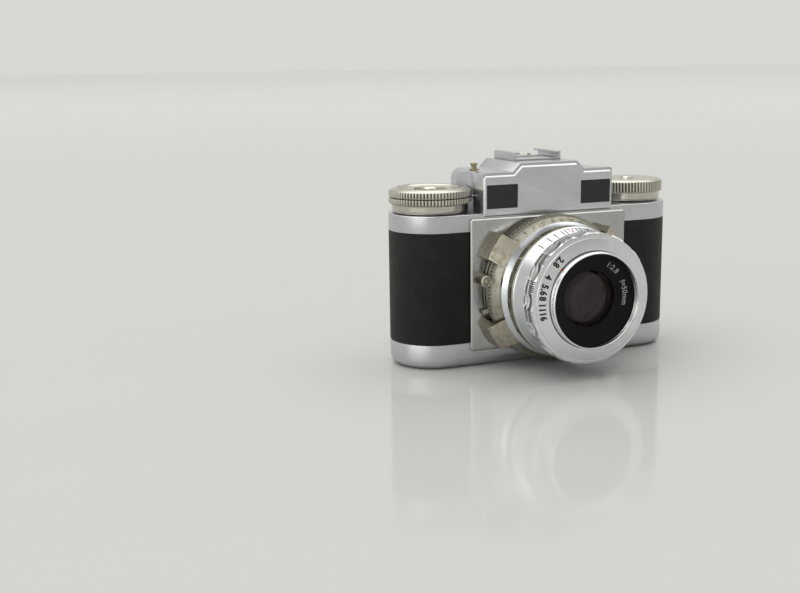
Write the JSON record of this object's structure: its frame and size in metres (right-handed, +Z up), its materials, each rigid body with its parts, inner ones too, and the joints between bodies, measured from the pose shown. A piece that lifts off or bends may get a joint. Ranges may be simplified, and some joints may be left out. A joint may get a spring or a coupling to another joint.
{
  "type": "35 mm rangefinder film camera",
  "caption": "Compact 35 mm film camera with coupled rangefinder, leaf shutter behind an interchangeable lens, twin top knobs, accessory shoe and removable back.",
  "frame": {"origin": "mouth of the tripod socket, in the plane that the camera stands on, under the lens axis", "axes": "+Z up, -Y towards the subject (the lens points along -Y), +X to the right as seen from the front"},
  "size_m": [0.119, 0.0702, 0.0809],
  "materials": {
    "satin_chrome": "satin",
    "nickel": "satin nickel",
    "bright_chrome": "polished",
    "satin_aluminium": "satin",
    "black_leather": "fine grained",
    "window_glass": "dark behind",
    "lens_glass": "coated",
    "black_enamel": "satin",
    "cast_frame": "painted matt inside",
    "spring_steel": "plain",
    "brass": "nickel-washed",
    "black_plastic": "moulded"
  },
  "bodies": {
    "body": {"front_shell": "cast_frame", "leather_left": "black_leather", "leather_right": "black_leather", "top_plate": "satin_chrome", "film_deck": "black_enamel", "chassis": "cast_frame", "finder_housing": "satin_chrome", "housing_face": "satin_chrome", "finder_window": "window_glass", "rangefinder_window": "window_glass", "eyepiece": "black_enamel", "eyepiece_glass": "window_glass", "finder_block": "window_glass", "accessory_shoe": "satin_chrome", "shoe_spring": "spring_steel", "release_collar": "brass", "index_pin": "spring_steel", "front_plate": "nickel", "lens_bridge": "nickel", "shutter_drum": "black_enamel", "flash_socket": "nickel", "lens_base": "black_enamel", "mount_ring": "satin_aluminium", "scale_ring": "satin_aluminium"},
    "back": {"base_tray": "satin_chrome", "tripod_bush": "nickel", "back_shell": "cast_frame", "back_leather": "black_leather", "pressure_plate": "black_enamel", "pressure_spring": "spring_steel"},
    "lock": {"lock_key": "nickel"},
    "wind": {"wind_knob": "nickel", "wind_shaft": "spring_steel", "knob_screw": "nickel"},
    "counter": {"counter_dial": "nickel"},
    "take_up": {"take_up_spool": "black_plastic"},
    "sprocket": {"sprocket": "black_enamel"},
    "rewind_lift": {"rewind_sleeve": "spring_steel"},
    "rewind": {"rewind_knob": "nickel", "rewind_fork": "nickel"},
    "release": {"release_button": "brass"},
    "speed": {"speed_ring": "nickel"},
    "sync": {"sync_selector": "bright_chrome"},
    "focus": {"focus_ring": "satin_aluminium"},
    "barrel": {"lens_barrel": "black_enamel", "filter_rim": "bright_chrome", "name_ring": "black_enamel", "front_glass": "lens_glass", "middle_glass": "lens_glass", "rear_glass": "lens_glass"},
    "aperture": {"aperture_ring": "satin_aluminium"},
    "rangefinder": {"rangefinder_arm": "brass"},
    "iris_1": {"iris_blade_1": "black_enamel"},
    "iris_2": {"iris_blade_2": "black_enamel"},
    "iris_3": {"iris_blade_3": "black_enamel"},
    "iris_4": {"iris_blade_4": "black_enamel"},
    "iris_5": {"iris_blade_5": "black_enamel"}
  },
  "joints": [
    {"name": "back_slide", "type": "slide", "parent": "body", "child": "back", "axis": [0, 0, -1], "range_m": [0, 0.06]},
    {"name": "lock_turn", "type": "hinge", "parent": "back", "child": "lock", "pos_m": [-0.04, 0, 0.001], "axis": [0, 0, 1], "range_deg": [0, 90]},
    {"name": "wind_turn", "type": "hinge", "parent": "body", "child": "wind", "pos_m": [-0.0427, 0, 0.0625], "axis": [0, 0, 1], "continuous": true},
    {"name": "counter_turn", "type": "hinge", "parent": "wind", "child": "counter", "pos_m": [-0.0427, 0, 0.067], "axis": [0, 0, 1], "continuous": true},
    {"name": "take_up_turn", "type": "hinge", "parent": "body", "child": "take_up", "pos_m": [-0.0427, 0, 0.03], "axis": [0, 0, 1], "continuous": true},
    {"name": "sprocket_turn", "type": "hinge", "parent": "body", "child": "sprocket", "pos_m": [-0.0312, 0.0055, 0.03], "axis": [0, 0, 1], "continuous": true},
    {"name": "rewind_pull", "type": "slide", "parent": "body", "child": "rewind_lift", "axis": [0, 0, 1], "range_m": [0, 0.006]},
    {"name": "rewind_turn", "type": "hinge", "parent": "rewind_lift", "child": "rewind", "pos_m": [0.0456, 0, 0.064], "axis": [0, 0, 1], "continuous": true},
    {"name": "release_press", "type": "slide", "parent": "body", "child": "release", "axis": [0, 0, -1], "range_m": [0, 0.0011], "stiffness_N_per_m": 400, "springref_m": -0.002},
    {"name": "speed_turn", "type": "hinge", "parent": "body", "child": "speed", "pos_m": [0, -0.023, 0.0298], "axis": [0, -1, 0], "range_deg": [0, 120]},
    {"name": "sync_turn", "type": "hinge", "parent": "body", "child": "sync", "pos_m": [0, -0.0194, 0.0298], "axis": [0, -1, 0], "range_deg": [-15, 0]},
    {"name": "focus_turn", "type": "hinge", "parent": "barrel", "child": "focus", "pos_m": [0, -0.0426, 0.0298], "axis": [0, -1, 0], "range_deg": [0, 151]},
    {"name": "barrel_slide", "type": "slide", "parent": "body", "child": "barrel", "axis": [0, -1, 0], "range_m": [0, 0.0022]},
    {"name": "aperture_turn", "type": "hinge", "parent": "barrel", "child": "aperture", "pos_m": [0, -0.0476, 0.0298], "axis": [0, -1, 0], "range_deg": [-60, 0]},
    {"name": "rangefinder_turn", "type": "hinge", "parent": "body", "child": "rangefinder", "pos_m": [0.02, -0.004, 0.065], "axis": [0, 0, 1], "range_deg": [0, 3.2]},
    {"name": "iris_turn_1", "type": "hinge", "parent": "barrel", "child": "iris_1", "pos_m": [0.01357, -0.0379, 0.03075], "axis": [0, -1, 0], "range_deg": [0, 42.5]},
    {"name": "iris_turn_2", "type": "hinge", "parent": "barrel", "child": "iris_2", "pos_m": [0.00329, -0.03835, 0.043], "axis": [0, -1, 0], "range_deg": [0, 42.5]},
    {"name": "iris_turn_3", "type": "hinge", "parent": "barrel", "child": "iris_3", "pos_m": [-0.01153, -0.0388, 0.03701], "axis": [0, -1, 0], "range_deg": [0, 42.5]},
    {"name": "iris_turn_4", "type": "hinge", "parent": "barrel", "child": "iris_4", "pos_m": [-0.01042, -0.03925, 0.02106], "axis": [0, -1, 0], "range_deg": [0, 42.5]},
    {"name": "iris_turn_5", "type": "hinge", "parent": "barrel", "child": "iris_5", "pos_m": [0.00509, -0.0397, 0.01719], "axis": [0, -1, 0], "range_deg": [0, 42.5]}
  ],
  "couplings": [
    {"joint": "take_up_turn", "follows": "wind_turn", "ratio": 1},
    {"joint": "sprocket_turn", "follows": "wind_turn", "ratio": -1},
    {"joint": "focus_turn", "follows": "barrel_slide", "rad_per_m": 1190},
    {"joint": "rangefinder_turn", "follows": "barrel_slide", "rad_per_m": 25},
    {"joint": "iris_turn_1", "follows": "aperture_turn", "ratio": -0.7},
    {"joint": "iris_turn_2", "follows": "aperture_turn", "ratio": -0.7},
    {"joint": "iris_turn_3", "follows": "aperture_turn", "ratio": -0.7},
    {"joint": "iris_turn_4", "follows": "aperture_turn", "ratio": -0.7},
    {"joint": "iris_turn_5", "follows": "aperture_turn", "ratio": -0.7}
  ]
}
